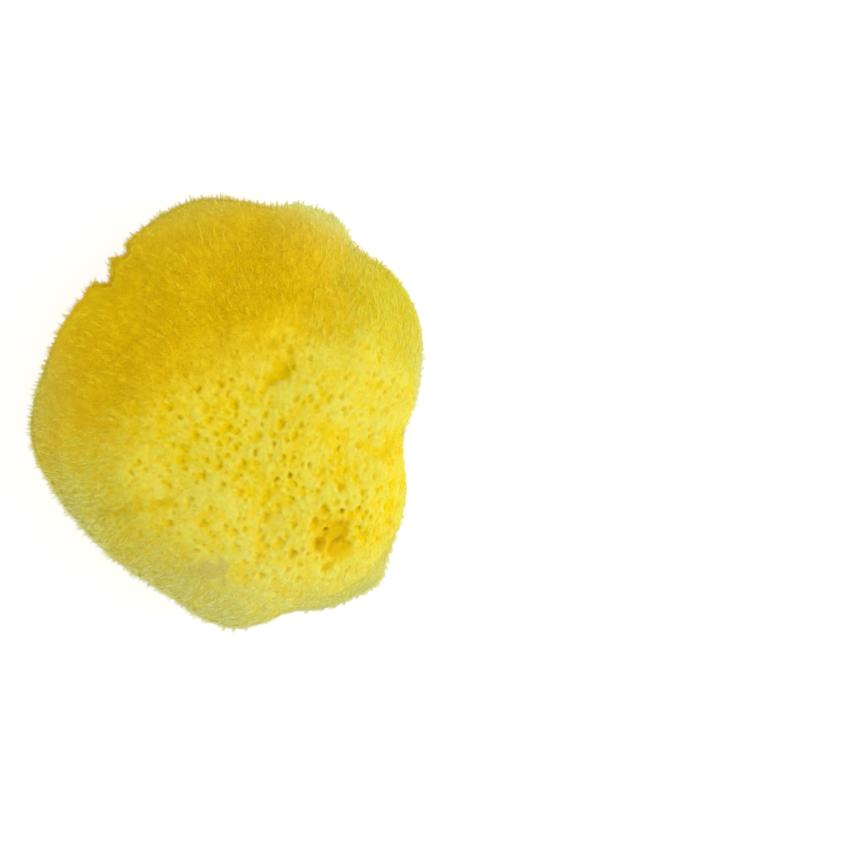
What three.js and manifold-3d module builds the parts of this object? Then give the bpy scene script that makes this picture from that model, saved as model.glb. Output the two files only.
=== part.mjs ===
// A natural silk sea sponge, dried and trimmed: one lumpy dome of felted fibre that rests on the flat
// cut where it was taken off the sea bed. Millimetres, +Z up, origin at the middle of the base.
import * as THREE from "three";
import { mergeVertices } from "three/addons/utils/BufferGeometryUtils.js";
import Module from "manifold-3d";

// Driving dimensions
const RIM_HEIGHT = 21; // height of the widest girth above the cut base
const CROWN_RISE = 37; // from the girth up to the top of the dome
const FOOT_DROP = 30; // how far the round underside would reach below the girth, had it not been cut
const CROWN_FULLNESS = 0.8; // under 1 gives the dome full shoulders
const CROWN_TOP = [17, -9]; // the dome leans to its top, which stands right of and below the middle
const FACETS = 20; // along each edge of the cube that is blown up into the body
const RIM_BAND = [0.08, 0.5]; // share of the way up or down over which the outline's small bays smooth out
const RIM_EASING = [-0.36, -0.24, -0.12, 0, 0.12, 0.24, 0.36]; // turns that are averaged above the band
const LUMP_HEIGHT = 0.4; // of each of the broad waves that make the skin uneven
const LUMP_WAVES = 7;
const LUMP_LENGTH = [15, 31]; // shortest and longest wave
const GIRTH_LUMPS = 0.12; // the share of the waves that is left at the girth, where the outline rules
const GIRTH_BAND = 0.5; // share of the way up or down over which the waves come back to full height
const SHOULDER = 0.4; // share of the way up at which the swells have their full height
const PORE_SIDES = 6;
const PORE_MOUTH = 1.15; // radius above the skin, as a share of the pore's own
const PORE_FLOOR = 0.66; // radius where the wall meets the pointed floor
const PORE_WALL = 0.7; // share of the depth that the wall takes
const PORE_OVERSHOOT = 1.2; // how far a pore's cutter stands out of the skin
const PORE_TURN = 0.35; // how far a pore turns from square to the skin towards the look that finds it
const FLANK_PORES = 52; // the pores that a golden-angle spiral spreads over the flanks
const FLANK_BAND = [0.62, -0.35]; // from here down to here, as sines of the height angle seen from inside
const FLANK_RADIUS = [0.9, 1.4]; // smallest and largest
const FLANK_DEPTH = 1.8; // in radii
const FLANK_SPREAD = 7; // step of the sine that shares the radii out between the flank pores
const TRIM_BLOCK = 80; // half the width, and the height, of the block that trims the base
const WELD = 1e-4; // corners nearer than this are one corner

// The outline from above, tip to tip of the nap, anticlockwise from the right
const OUTLINE = [
  [44.9, 4], [45.8, 15.5], [43.4, 25.3], [39.7, 31.8], [30.8, 38.8], [26.5, 44.9], [18, 48.7],
  [10.5, 48.5], [0, 50.1], [-6.5, 50], [-12.6, 47.8], [-19.6, 43.2], [-23.1, 39.6], [-23.4, 37.2],
  [-26.3, 35.8], [-27.5, 30.5], [-30.2, 30.5], [-34.2, 25.9], [-38.2, 20.4], [-42.2, 11], [-44.7, 3],
  [-45.5, -4], [-44, -11], [-39.2, -20], [-31.2, -29.3], [-20.2, -38.4], [-13.4, -42.7], [-4, -48.6],
  [2.5, -50.1], [7.6, -49.2], [13.2, -46.2], [24, -45.5], [31.4, -42.4], [36.1, -39.2], [38.4, -32.5],
  [41.8, -21], [42, -14.5], [41.3, -9.5], [41.9, -4],
];

// Broad swells (rise over 0) and dips of the dome: [x, y, radius, rise]
const SWELLS = [
  [0, 36, 14, 2], [20, 39, 8, 1.6], [9, 43, 5, -1.4], [29, 34, 6, -2.6], [36, 18, 12, 2],
  [38, -5, 6, -2.6], [34, -22, 9, 1.4], [25.5, -29, 5, -2.4], [13, 8.5, 3, -1.4],
  [-24, 4, 15, 2], [4, -42, 9, 1.6], [-29, -23, 5, -0.9], [-21, -21, 4.5, -1], [-13, -20.5, 4.5, -0.8],
];

// The pores that stand out on the top: [x, y, radius, depth]
const PORES = [
  [13.4, 8.9, 2.1, 2.4], [10.6, 6.6, 1.4, 1.8], [27.2, -27.2, 2, 3], [22.4, -30, 1.4, 3],
  [27, -31, 1.7, 3.2], [24.4, -35.6, 1.6, 2.6], [23.6, -22, 1.1, 2.4], [21.3, -25, 1, 2.4],
  [27.7, -22.4, 0.8, 2.6], [24, -26.8, 0.7, 2.6], [27.6, -16.8, 1.2, 2.4], [33, -28.4, 1.1, 2.2],
  [16.3, -32.3, 1.1, 2.4], [31.8, -22, 0.9, 2], [15.9, -14.1, 0.6, 2.4], [12.8, -15.3, 0.6, 1.8],
  [16.7, -10.2, 0.6, 1.8], [20.4, -11.8, 0.7, 1.8], [27, -8.4, 0.6, 2], [13.7, -2.7, 1, 2],
  [18.2, -3, 0.8, 1.8], [17, -5.3, 0.8, 1.6], [11.9, -6.6, 0.7, 1.8], [8, -8.9, 0.7, 1.8],
  [5.2, -11.3, 0.8, 2], [3.5, -7.6, 0.9, 1.8], [1.8, -3.3, 1.1, 2.2], [3.4, 1.7, 1.1, 2.2],
  [8.4, -5.1, 1.2, 1.8], [-4.2, -14.4, 1.1, 2.2], [-5.6, -5.4, 1.1, 1.8], [-9.1, -1.3, 0.7, 1.8],
  [-5.3, 5.1, 1, 1.8], [-3.7, 1.1, 1.2, 1.6], [0, 6.4, 0.8, 2], [-12, 0.9, 1, 1.6],
  [16.9, 3.1, 1, 1.8], [-0.4, -12, 0.8, 1.8], [4.4, -18.4, 1, 1.8], [10.6, -19, 1.1, 1.8],
  [13, -21.5, 0.9, 1.8], [10.4, -24, 1.1, 1.8], [-12, -25.3, 0.9, 1.8], [-4.4, -25.4, 0.8, 1.8],
  [3, -27, 0.9, 1.8], [13.5, -29.5, 1.1, 2], [3.4, -30.3, 1.1, 2], [9.4, -37.5, 1, 2],
];

// The canals that the cut lays open in the base: [x, y, radius, depth]
const CANALS = [
  [-20, 12, 1.9, 5], [-8, -20, 1.5, 4], [9, 22, 2.2, 6], [18, -14, 1.6, 5], [-22, -9, 1.4, 4],
  [22, 5, 1.5, 4], [-6, 27, 1.3, 4], [6, -30, 1.4, 4], [-2, 9, 1.7, 5],
];

const GOLDEN_ANGLE = Math.PI * (3 - Math.sqrt(5));

const wasm = await Module();
wasm.setup();

// A closed mesh as a solid that can be joined and cut
function toSolid(geometry) {
  const bare = geometry.clone();
  bare.deleteAttribute("normal");
  bare.deleteAttribute("uv");
  const merged = mergeVertices(bare, WELD);
  return new wasm.Manifold(new wasm.Mesh({
    numProp: 3,
    vertProperties: new Float32Array(merged.attributes.position.array),
    triVerts: new Uint32Array(merged.index.array),
  }));
}

function toGeometry(solid) {
  const { vertProperties, triVerts } = solid.getMesh();
  const geometry = new THREE.BufferGeometry();
  geometry.setAttribute("position", new THREE.BufferAttribute(vertProperties, 3));
  geometry.setIndex(new THREE.BufferAttribute(triVerts, 1));
  geometry.computeVertexNormals();
  return geometry;
}

// The outline as a distance from the middle at any turn, a smooth cubic between its points
const rim = OUTLINE
  .map(([x, y]) => ({ turn: Math.atan2(y, x), reach: Math.hypot(x, y) }))
  .sort((a, b) => a.turn - b.turn);

function rimPoint(k) {
  const laps = Math.floor(k / rim.length);
  const { turn, reach } = rim[k - laps * rim.length];
  return [turn + laps * 2 * Math.PI, reach];
}

function reachAt(anyTurn) {
  const turn = anyTurn - 2 * Math.PI * Math.round(anyTurn / (2 * Math.PI));
  const past = rim.findIndex((p) => p.turn > turn);
  const next = past < 0 ? rim.length : past;
  const [[t0, r0], [t1, r1], [t2, r2], [t3, r3]] = [-2, -1, 0, 1].map((k) => rimPoint(next + k));
  const span = t2 - t1;
  const s = (turn - t1) / span;
  const slope1 = ((r2 - r0) / (t2 - t0)) * span;
  const slope2 = ((r3 - r1) / (t3 - t1)) * span;
  const fall = 2 * s ** 3 - 3 * s ** 2 + 1;
  return r1 * fall + r2 * (1 - fall) + slope1 * (s ** 3 - 2 * s ** 2 + s) + slope2 * (s ** 3 - s ** 2);
}

// The same distance without the small bays and corners, averaged over the turns to either side
function easedReach(turn) {
  return RIM_EASING.reduce((sum, aside) => sum + reachAt(turn + aside), 0) / RIM_EASING.length;
}

// Seven plane waves that cross each other in all directions make an even lumpiness
const waves = Array.from({ length: LUMP_WAVES }, (_, i) => {
  const [shortest, longest] = LUMP_LENGTH;
  const length = shortest + ((longest - shortest) * i) / (LUMP_WAVES - 1);
  const rise = 1 - (2 * (i + 0.5)) / LUMP_WAVES;
  const flat = Math.sqrt(1 - rise * rise);
  return new THREE.Vector3(
    flat * Math.cos(i * GOLDEN_ANGLE), flat * Math.sin(i * GOLDEN_ANGLE), rise,
  ).multiplyScalar((2 * Math.PI) / length);
});

function lumps(p) {
  return waves.reduce((sum, wave, i) => sum + LUMP_HEIGHT * Math.sin(wave.dot(p) + i * i), 0);
}

function swells(p) {
  return SWELLS.reduce((sum, [x, y, radius, rise]) => {
    const away = ((p.x - x) ** 2 + (p.y - y) ** 2) / radius ** 2;
    return sum + rise * Math.exp(-away);
  }, 0);
}

// The skin in any direction from inside: a dome over the outline that leans to its top, with a round
// underside, then moved in or out by the swells and lumps. The swells fade out towards the girth.
function skin(direction) {
  const up = direction.z;
  const turn = Math.atan2(direction.y, direction.x);
  const eased = THREE.MathUtils.smoothstep(Math.abs(up), ...RIM_BAND);
  const girth = THREE.MathUtils.lerp(reachAt(turn), easedReach(turn), eased);
  const reach = girth * Math.sqrt(Math.max(0, 1 - up * up));
  const lean = up > 0 ? up * up : 0;
  const p = new THREE.Vector3(
    reach * Math.cos(turn) + CROWN_TOP[0] * lean,
    reach * Math.sin(turn) + CROWN_TOP[1] * lean,
    RIM_HEIGHT + (up > 0 ? CROWN_RISE * up ** CROWN_FULLNESS : FOOT_DROP * up),
  );
  const outward = p.clone().sub(new THREE.Vector3(0, 0, RIM_HEIGHT)).normalize();
  const onTop = THREE.MathUtils.smoothstep(up, 0, SHOULDER);
  const clearOfGirth = THREE.MathUtils.smoothstep(Math.abs(up), 0, GIRTH_BAND);
  const uneven = THREE.MathUtils.lerp(GIRTH_LUMPS, 1, clearOfGirth);
  return p.addScaledVector(outward, swells(p) * onTop + lumps(p) * uneven);
}

// The whole body before it is cut: a cube with even facets, blown up to the skin
function body() {
  const box = new THREE.BoxGeometry(2, 2, 2, FACETS, FACETS, FACETS);
  const position = box.attributes.position;
  for (let i = 0; i < position.count; i++) {
    const corner = [position.getX(i), position.getY(i), position.getZ(i)];
    const direction = new THREE.Vector3(...corner.map((c) => Math.tan((c * Math.PI) / 4))).normalize();
    position.setXYZ(i, ...skin(direction).toArray());
  }
  return toSolid(box);
}

// A pore that narrows inwards to a pointed floor, with its mouth at the origin and its axis along +Z
function poreCutter(radius, depth) {
  const profile = [
    [0, -depth],
    [radius * PORE_FLOOR, -depth * PORE_WALL],
    [radius * PORE_MOUTH, PORE_OVERSHOOT],
    [0, PORE_OVERSHOOT],
  ].map(([r, z]) => new THREE.Vector2(r, z));
  return new THREE.LatheGeometry(profile, PORE_SIDES).rotateX(Math.PI / 2);
}

// Sinks a pore into the body where a straight look from outside meets the skin
function sink(geometry, from, towards, radius, depth, spin) {
  const caster = new THREE.Raycaster(from, towards);
  const target = new THREE.Mesh(geometry, new THREE.MeshBasicMaterial({ side: THREE.DoubleSide }));
  const hit = caster.intersectObject(target)[0];
  const outwards = hit.face.normal.clone().lerp(towards.clone().negate(), PORE_TURN).normalize();
  const turned = new THREE.Quaternion().setFromUnitVectors(new THREE.Vector3(0, 0, 1), outwards);
  const cutter = poreCutter(radius, depth).rotateZ(spin).applyQuaternion(turned);
  return toSolid(cutter.translate(hit.point.x, hit.point.y, hit.point.z));
}

const DOWN = new THREE.Vector3(0, 0, -1);
const FAR = 200; // well outside the body, where the looks start

function topPores(geometry) {
  return PORES.map(([x, y, radius, depth], i) =>
    sink(geometry, new THREE.Vector3(x, y, FAR), DOWN, radius, depth, i));
}

function baseCanals() {
  return CANALS.map(([x, y, radius, depth], i) =>
    toSolid(poreCutter(radius, depth).rotateX(Math.PI).rotateZ(i).translate(x, y, 0)));
}

// Smaller pores spread over the flanks in a golden-angle spiral, from the shoulder to under the girth
function flankPores(geometry) {
  const [highest, lowest] = FLANK_BAND;
  const [smallest, largest] = FLANK_RADIUS;
  const middle = new THREE.Vector3(0, 0, RIM_HEIGHT);
  return Array.from({ length: FLANK_PORES }, (_, i) => {
    const up = highest + ((lowest - highest) * (i + 0.5)) / FLANK_PORES;
    const flat = Math.sqrt(1 - up * up);
    const turn = i * GOLDEN_ANGLE;
    const outwards = new THREE.Vector3(flat * Math.cos(turn), flat * Math.sin(turn), up);
    const from = middle.clone().addScaledVector(outwards, FAR);
    const radius = smallest + (largest - smallest) * Math.abs(Math.sin(i * FLANK_SPREAD));
    return sink(geometry, from, outwards.negate(), radius, radius * FLANK_DEPTH, i);
  });
}

function spongeGeometry() {
  const whole = body();
  const skinMesh = toGeometry(whole);
  const block = new THREE.BoxGeometry(2 * TRIM_BLOCK, 2 * TRIM_BLOCK, TRIM_BLOCK)
    .translate(0, 0, -TRIM_BLOCK / 2);
  const cutters = [...topPores(skinMesh), ...flankPores(skinMesh), ...baseCanals()];
  const cut = cutters.reduce((left, cutter) => left.subtract(cutter), whole.subtract(toSolid(block)));
  const geometry = toGeometry(cut);
  geometry.computeBoundingBox();
  const centre = geometry.boundingBox.getCenter(new THREE.Vector3());
  return geometry.translate(-centre.x, -centre.y, 0);
}

const spongin = new THREE.MeshStandardMaterial({ color: 0xe3c62e, roughness: 0.92, metalness: 0 });

const sponge = new THREE.Mesh(spongeGeometry(), spongin);
sponge.name = "sponge";

const group = new THREE.Group();
group.add(sponge);

export default group;
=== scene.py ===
import bpy
import numpy as np
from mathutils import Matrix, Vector


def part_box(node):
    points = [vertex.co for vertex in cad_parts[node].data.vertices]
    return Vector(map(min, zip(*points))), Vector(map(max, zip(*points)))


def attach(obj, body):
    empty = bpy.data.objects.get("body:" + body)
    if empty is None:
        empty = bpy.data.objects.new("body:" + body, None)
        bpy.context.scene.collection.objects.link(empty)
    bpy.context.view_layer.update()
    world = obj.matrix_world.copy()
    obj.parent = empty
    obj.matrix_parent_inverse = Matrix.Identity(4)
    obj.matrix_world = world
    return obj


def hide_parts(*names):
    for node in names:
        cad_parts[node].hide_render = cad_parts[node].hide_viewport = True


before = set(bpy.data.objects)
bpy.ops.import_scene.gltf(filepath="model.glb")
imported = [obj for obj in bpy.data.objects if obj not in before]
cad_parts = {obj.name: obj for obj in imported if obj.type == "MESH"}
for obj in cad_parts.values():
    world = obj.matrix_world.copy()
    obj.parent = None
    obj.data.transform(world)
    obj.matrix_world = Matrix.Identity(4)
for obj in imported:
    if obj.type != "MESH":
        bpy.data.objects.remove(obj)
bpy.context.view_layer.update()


# The body of the sponge: a skeleton of springy spongin fibre that grew as one lump on the sea bed and
# was cut off it flat. Its top is felted smooth between fine pores, its flanks are combed downwards.
# It is one closed surface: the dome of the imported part, set in by the length of the nap it carries.

MM = 0.001  # the sizes below are in millimetres
RIM_HEIGHT = 21  # of the widest girth above the cut
CROWN_RISE = 37  # from the girth to the top of the dome
FOOT_DROP = 30  # how far the underside would reach below the girth, had it not been cut
CROWN_FULLNESS = 0.8  # under 1 gives the dome full shoulders
CROWN_TOP = np.array([17, -9])  # the dome leans to its top
SHOULDER = 0.4  # share of the way up at which the swells have their full height
GIRTH_LUMPS = 0.12  # share of the lumps that is left at the girth
GIRTH_BAND = 0.5  # share of the way up or down over which they come back
RIM_BAND = (0.08, 0.5)  # share of the way up or down over which the outline's bays smooth out
RIM_EASING = (-0.36, -0.24, -0.12, 0, 0.12, 0.24, 0.36)  # turns over which they are averaged
LUMP_HEIGHT = 0.4
LUMP_WAVES = 7
LUMP_LENGTH = (15, 31)
GOLDEN_ANGLE = np.pi * (3 - np.sqrt(5))
OUTLINE = np.array([
    [44.9, 4], [45.8, 15.5], [43.4, 25.3], [39.7, 31.8], [30.8, 38.8], [26.5, 44.9], [18, 48.7],
    [10.5, 48.5], [0, 50.1], [-6.5, 50], [-12.6, 47.8], [-19.6, 43.2], [-23.1, 39.6], [-23.4, 37.2],
    [-26.3, 35.8], [-27.5, 30.5], [-30.2, 30.5], [-34.2, 25.9], [-38.2, 20.4], [-42.2, 11],
    [-44.7, 3], [-45.5, -4], [-44, -11], [-39.2, -20], [-31.2, -29.3], [-20.2, -38.4],
    [-13.4, -42.7], [-4, -48.6], [2.5, -50.1], [7.6, -49.2], [13.2, -46.2], [24, -45.5],
    [31.4, -42.4], [36.1, -39.2], [38.4, -32.5], [41.8, -21], [42, -14.5], [41.3, -9.5], [41.9, -4],
])
# x, y, radius, rise
SWELLS = np.array([
    [0, 36, 14, 2], [20, 39, 8, 1.6], [9, 43, 5, -1.4], [29, 34, 6, -2.6], [36, 18, 12, 2],
    [38, -5, 6, -2.6], [34, -22, 9, 1.4], [25.5, -29, 5, -2.4], [13, 8.5, 3, -1.4],
    [-24, 4, 15, 2], [4, -42, 9, 1.6], [-29, -23, 5, -0.9], [-21, -21, 4.5, -1],
    [-13, -20.5, 4.5, -0.8],
])
# x, y, radius, depth
PORES = np.array([
    [13.9, 8.6, 1.5, 0.9], [10.9, 7, 1.2, 0.7], [27.2, -27.2, 2, 1.6], [22.4, -30, 1.5, 1.8],
    [27, -31, 1.9, 2], [24.4, -35.6, 1.4, 1.4], [23.6, -22, 1.1, 2.2], [21.3, -25, 1, 2.2],
    [27.7, -22.4, 0.65, 2.4], [24, -26.8, 0.6, 2.4], [27.6, -16.8, 1.2, 2.4], [33, -28.4, 1.1, 2.2],
    [16.3, -32.3, 1.1, 2.4], [31.8, -22, 0.9, 2], [15.9, -14.1, 0.6, 2.4], [12.8, -15.3, 0.6, 1.8],
    [16.7, -10.2, 0.6, 1.8], [20.4, -11.8, 0.7, 1.8], [27, -8.4, 0.6, 2], [13.7, -2.7, 1, 2],
    [18.2, -3, 0.8, 1.8], [17, -5.3, 0.8, 1.6], [11.9, -6.6, 0.7, 1.8], [8, -8.9, 0.7, 1.8],
    [5.2, -11.3, 0.8, 2], [3.5, -7.6, 0.9, 1.8], [1.8, -3.3, 1.1, 2.2], [3.4, 1.7, 1.1, 2.2],
    [8.4, -5.1, 1.2, 1.8], [-4.2, -14.4, 1.1, 2.2], [-5.6, -5.4, 1.1, 1.8],
    [-9.1, -1.3, 0.7, 1.8], [-5.3, 5.1, 1, 1.8], [-3.7, 1.1, 1.2, 1.6], [0, 6.4, 0.8, 2],
    [-12, 0.9, 1, 1.6], [16.9, 3.1, 1, 1.8], [-0.4, -12, 0.8, 1.8], [4.4, -18.4, 1, 1.8],
    [10.6, -19, 1.1, 1.8], [13, -21.5, 0.9, 1.8], [10.4, -24, 1.1, 1.8], [-12, -25.3, 0.9, 1.8],
    [-4.4, -25.4, 0.8, 1.8], [3, -27, 0.9, 1.8], [13.5, -29.5, 1.1, 2], [3.4, -30.3, 1.1, 2],
    [9.4, -37.5, 1, 2], [14.3, -9.8, 0.5, 1.5], [15, -6.3, 0.6, 1.5], [11.3, -9.7, 0.5, 1.3],
    [6, -1.8, 0.5, 1.3], [9.6, -2.8, 0.5, 1.3], [-2.5, -1.8, 0.6, 1.4], [2.6, 7.1, 0.6, 1.4],
    [20.1, 3.5, 0.6, 1.4], [0.5, -16.3, 0.6, 1.4], [8.7, -33, 0.7, 1.5], [16.7, -25.5, 0.7, 1.5],
    [16.2, -19.8, 0.5, 1.3], [17, -16.5, 0.5, 1.3], [19, -17.3, 0.6, 1.4], [23, -16.2, 0.5, 1.3],
    [36.2, -18, 0.8, 1.5], [32.6, -18.2, 0.7, 1.5], [38, -21.8, 0.7, 1.5], [13.6, 7.9, 0.6, 1.6],
    [9.2, 4.4, 0.6, 1.4], [39.3, -16.5, 0.7, 1.5], [23.1, 4.6, 1.2, 0.9], [6.6, 2.2, 1.2, 0.8],
    [11.3, 1.6, 1, 0.9], [22.9, -4.2, 1.5, 0.8], [24.6, -1, 0.8, 0.9], [20.8, 9.7, 1.5, 0.7],
    [11.3, 15, 1.5, 0.6], [-20.8, -13.7, 0.7, 1.4], [-18.8, -11.5, 0.7, 1.4], [27, -6, 0.4, 1.3],
    [31.8, -26.5, 0.5, 1.5],
])
# x, y from, x, y to, width, depth
FOLDS = np.array([
    [-29, -24, -12, -20.5, 1.3, 0.6], [-5, -34, 0, -31, 1.2, 0.6], [41.5, -4, 37.5, -9, 1.3, 0.7],
    [9.8, 6.1, 14.4, 9.9, 1.1, 0.7], [22.4, -31.4, 22.7, -29.6, 0.8, 1],
    [22.7, -29.6, 23.9, -28, 0.7, 0.8], [24.9, -31.8, 25.5, -30.2, 0.9, 0.9],
    [25.5, -30.2, 27, -29.4, 0.9, 1.1], [27, -29.4, 29, -30.4, 0.9, 0.9],
    [25.6, -26, 28.4, -25.6, 0.9, 0.7], [23.6, -36.4, 25.2, -34.8, 0.8, 0.7],
    [15.3, 14.5, 15.8, 10.5, 0.9, 0.5],
])
# x, y, radius, depth of the canals that the cut laid open
CANALS = np.array([
    [-20, 12, 1.9, 5], [-8, -20, 1.5, 4], [9, 22, 2.2, 6], [18, -14, 1.6, 5], [-22, -9, 1.4, 4],
    [22, 5, 1.5, 4], [-6, 27, 1.3, 4], [6, -30, 1.4, 4], [-2, 9, 1.7, 5],
])
# x, y, angle: which way the fibre leans in plan, in degrees from +X
LEANS = np.array([
    [-38, 0, 175], [-28, -22, 206], [-15, -36, 212], [2, -43, 228], [8, -32, 225], [28, -38, 238],
    [10, -12, 235], [27, -8, 60], [36, 6, 60], [14, 3, 60], [32, 25, 86], [12, 34, 100],
    [-12, 22, 140], [-2, 8, 140], [-24, 8, 160], [-8, -8, 170],
])
COMB_FROM = (8, 2)  # the place that the flanks are combed away from
# x, y, radius of the places where the fibre is matted flat
MATTED = np.array([[2.4, -21.8, 2.4], [-14.2, -18.1, 1.7], [-0.7, -25.5, 1.4], [-3.4, -36, 3.2]])
STAIN = np.array([[25.5, -28.5, 6]])  # x, y, radius of the orange stain among the large pores
PORED_MIDDLE = (14, -11)
PORED_RADII = (38, 32)
PORED_HEIGHTS = (20, 34)  # none of the top's felt below the first, all of it above the second
# share of x, share of y, offset: distance in front of the two parts of the gold side's border
GOLD_AND_SHADE_BORDERS = np.array([[-0.4095, 0.91, -9.555], [-0.94, 0.35, 14.97]])
GOLD_AND_SHADE_EDGE = (-13, 9)  # distances between which the gold comes in
FLANK_NAP = 1.15
CROWN_NAP = 0.5
TUFT_SPACING = 1.5
PIT_SPACING = 2.2
STREAK_SPACING = 2.5
WISP_SPACING = 2.1
BASE_PIT_SPACING = 2.6
WISP_TAIL = 5  # how many times a wisp is drawn out on one side of its seed
PORE_OPEN = 0.58  # share of a pore's depth that the felt over it leaves open
PORE_TAIL = 1.7
PIT_RADII = (0.4, 0.8)
# The floors of deep narrow pores get painted shade
DARK_PORES = (2.2, 4.2)  # depth over radius at which a pore's floor begins to darken, and is darkest
CANAL_SHADE = 6  # depth at which a hole in the cut looks black
BODY_QUADS = 129  # along each edge of the cube that is blown up into the body
CROWN_DETAIL = 0.58  # under 1 draws the facets towards the top


def s_curve(low, high, x):
    """0 up to low, 1 from high on and 3t^2 - 2t^3 between them; low may be the larger of the two."""
    t = np.clip((x - low) / (high - low), 0, 1)
    return t * t * (3 - 2 * t)


def unit(v):
    """Each row divided by its own length."""
    return v / np.maximum(np.linalg.norm(v, axis=-1, keepdims=True), 1e-9)


def without(v, axis):
    """What is left of each vector when its share along an axis of length 1 is taken away."""
    return v - axis * (v * axis).sum(axis=-1, keepdims=True)


def plan_offsets(p, places):
    """The x and y from each place to each point, as seen from above."""
    return p[:, None, :2] - places[:, :2]


def plan_distances(p, places):
    """The distance from each place to each point, as seen from above."""
    return np.linalg.norm(plan_offsets(p, places), axis=2)


rim_turns = np.arctan2(OUTLINE[:, 1], OUTLINE[:, 0])
rim_order = np.argsort(rim_turns)
rim_reaches = np.hypot(OUTLINE[:, 0], OUTLINE[:, 1])[rim_order]
rim_turns = rim_turns[rim_order]
rim_turns = np.concatenate([rim_turns[-2:] - 2 * np.pi, rim_turns, rim_turns[:2] + 2 * np.pi])
rim_reaches = np.concatenate([rim_reaches[-2:], rim_reaches, rim_reaches[:2]])


def outline_reach(turn):
    """How far the outline is from the middle at a turn: between two outline points a cubic runs that
    starts and ends with the slope from the point before to the point after."""
    turn = turn - 2 * np.pi * np.round(turn / (2 * np.pi))
    k = np.clip(np.searchsorted(rim_turns, turn, side="right"), 2, len(rim_turns) - 2)
    t0, t1, t2, t3 = (rim_turns[k + i] for i in (-2, -1, 0, 1))
    r0, r1, r2, r3 = (rim_reaches[k + i] for i in (-2, -1, 0, 1))
    span = t2 - t1
    s = (turn - t1) / span
    fall = 2 * s**3 - 3 * s**2 + 1
    slope1 = (r2 - r0) / (t2 - t0) * span
    slope2 = (r3 - r1) / (t3 - t1) * span
    return r1 * fall + r2 * (1 - fall) + slope1 * (s**3 - 2 * s**2 + s) + slope2 * (s**3 - s**2)


def swells(p):
    """The sum of round swells and dips, each its rise times e to the minus squared distance over
    squared radius, measured across the plan."""
    return (SWELLS[:, 3] * np.exp(-((plan_distances(p, SWELLS) / SWELLS[:, 2]) ** 2))).sum(axis=1)


def lumps(p):
    """The sum of seven sine waves that cross each other in all directions."""
    i = np.arange(LUMP_WAVES)
    length = LUMP_LENGTH[0] + (LUMP_LENGTH[1] - LUMP_LENGTH[0]) * i / (LUMP_WAVES - 1)
    rise = 1 - 2 * (i + 0.5) / LUMP_WAVES
    flat = np.sqrt(1 - rise**2)
    across = np.stack([flat * np.cos(i * GOLDEN_ANGLE), flat * np.sin(i * GOLDEN_ANGLE), rise])
    return LUMP_HEIGHT * np.sin(p @ (across * 2 * np.pi / length) + i**2).sum(axis=1)


def skin(direction):
    """The tips of the nap in any direction from inside: the outline, whose small bays are averaged
    away above and below the girth, shrinks with the height as a circle does, rises to a leaning top
    or sinks to a round underside, and is then moved in or out by the swells and lumps, which fade
    towards the girth so that the outline stays as it is."""
    up = direction[:, 2]
    over = np.maximum(up, 0)
    turn = np.arctan2(direction[:, 1], direction[:, 0])
    eased = sum(outline_reach(turn + aside) for aside in RIM_EASING) / len(RIM_EASING)
    bays = 1 - s_curve(*RIM_BAND, np.abs(up))
    reach = (eased + (outline_reach(turn) - eased) * bays) * np.sqrt(np.maximum(0, 1 - up**2))
    p = np.stack([
        reach * np.cos(turn) + CROWN_TOP[0] * over**2,
        reach * np.sin(turn) + CROWN_TOP[1] * over**2,
        RIM_HEIGHT + CROWN_RISE * over**CROWN_FULLNESS + FOOT_DROP * np.minimum(up, 0),
    ], axis=1)
    uneven = GIRTH_LUMPS + (1 - GIRTH_LUMPS) * s_curve(0, GIRTH_BAND, np.abs(up))
    move = swells(p) * s_curve(0, SHOULDER, up) + lumps(p) * uneven
    return p + unit(p - [0, 0, RIM_HEIGHT]) * move[:, None]


def cell_value(cell, salt):
    """One fixed value from 0 to 1 for each cell of a lattice: the fraction that is left of a large
    multiple of a sine of the cell's three numbers. Each use has its own salt, which shifts the sine."""
    x = np.sin(cell @ np.array([127.1, 311.7, 74.7]) + salt * 19.19) * 43758.5453
    return x - np.floor(x)


def noise(p, size, salt):
    """Smooth values from -1 to 1: a value at each corner of a lattice, blended by S-curves."""
    cell = np.floor(p / size)
    s = s_curve(0, 1, p / size - cell)
    total = np.zeros(len(p))
    for corner in np.ndindex(2, 2, 2):
        share = np.prod(np.where(corner, s, 1 - s), axis=1)
        total += share * cell_value(cell + corner, salt)
    return 2 * total - 1


def teardrop(offset, lean, tail):
    """How far an offset reaches: what lies along the lean counts one tail-th and what lies against
    it a little more, so that a round mark is drawn out into a tail along the lean."""
    along = (offset * lean).sum(axis=-1)
    across = (offset**2).sum(axis=-1) - along**2
    return np.sqrt(np.maximum(across, 0) + np.where(along > 0, along / tail, along * 1.2) ** 2)


def nearest_seed(p, size, salt, lean=0, tail=1, normal=0):
    """The nearest of the points that are strewn one to each cell of a lattice, by its teardrop
    distance: that distance, its place and the numbers of its cell. What lies along the normal
    counts only a quarter. Only the 27 cells around are looked at."""
    home = np.floor(p / size)
    best = np.full(len(p), np.inf)
    seed = np.zeros_like(p)
    cell = np.zeros_like(p)
    for step in np.ndindex(3, 3, 3):
        there = home + np.array(step) - 1
        strewn = np.stack([cell_value(there, salt + k) for k in range(3)], axis=1)
        point = (there + strewn) * size
        offset = p - point
        offset -= 0.75 * normal * (offset * normal).sum(axis=1, keepdims=True)
        away = teardrop(offset, lean, tail)
        nearer = away < best
        best = np.where(nearer, away, best)
        seed[nearer] = point[nearer]
        cell[nearer] = there[nearer]
    return best, seed, cell


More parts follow.
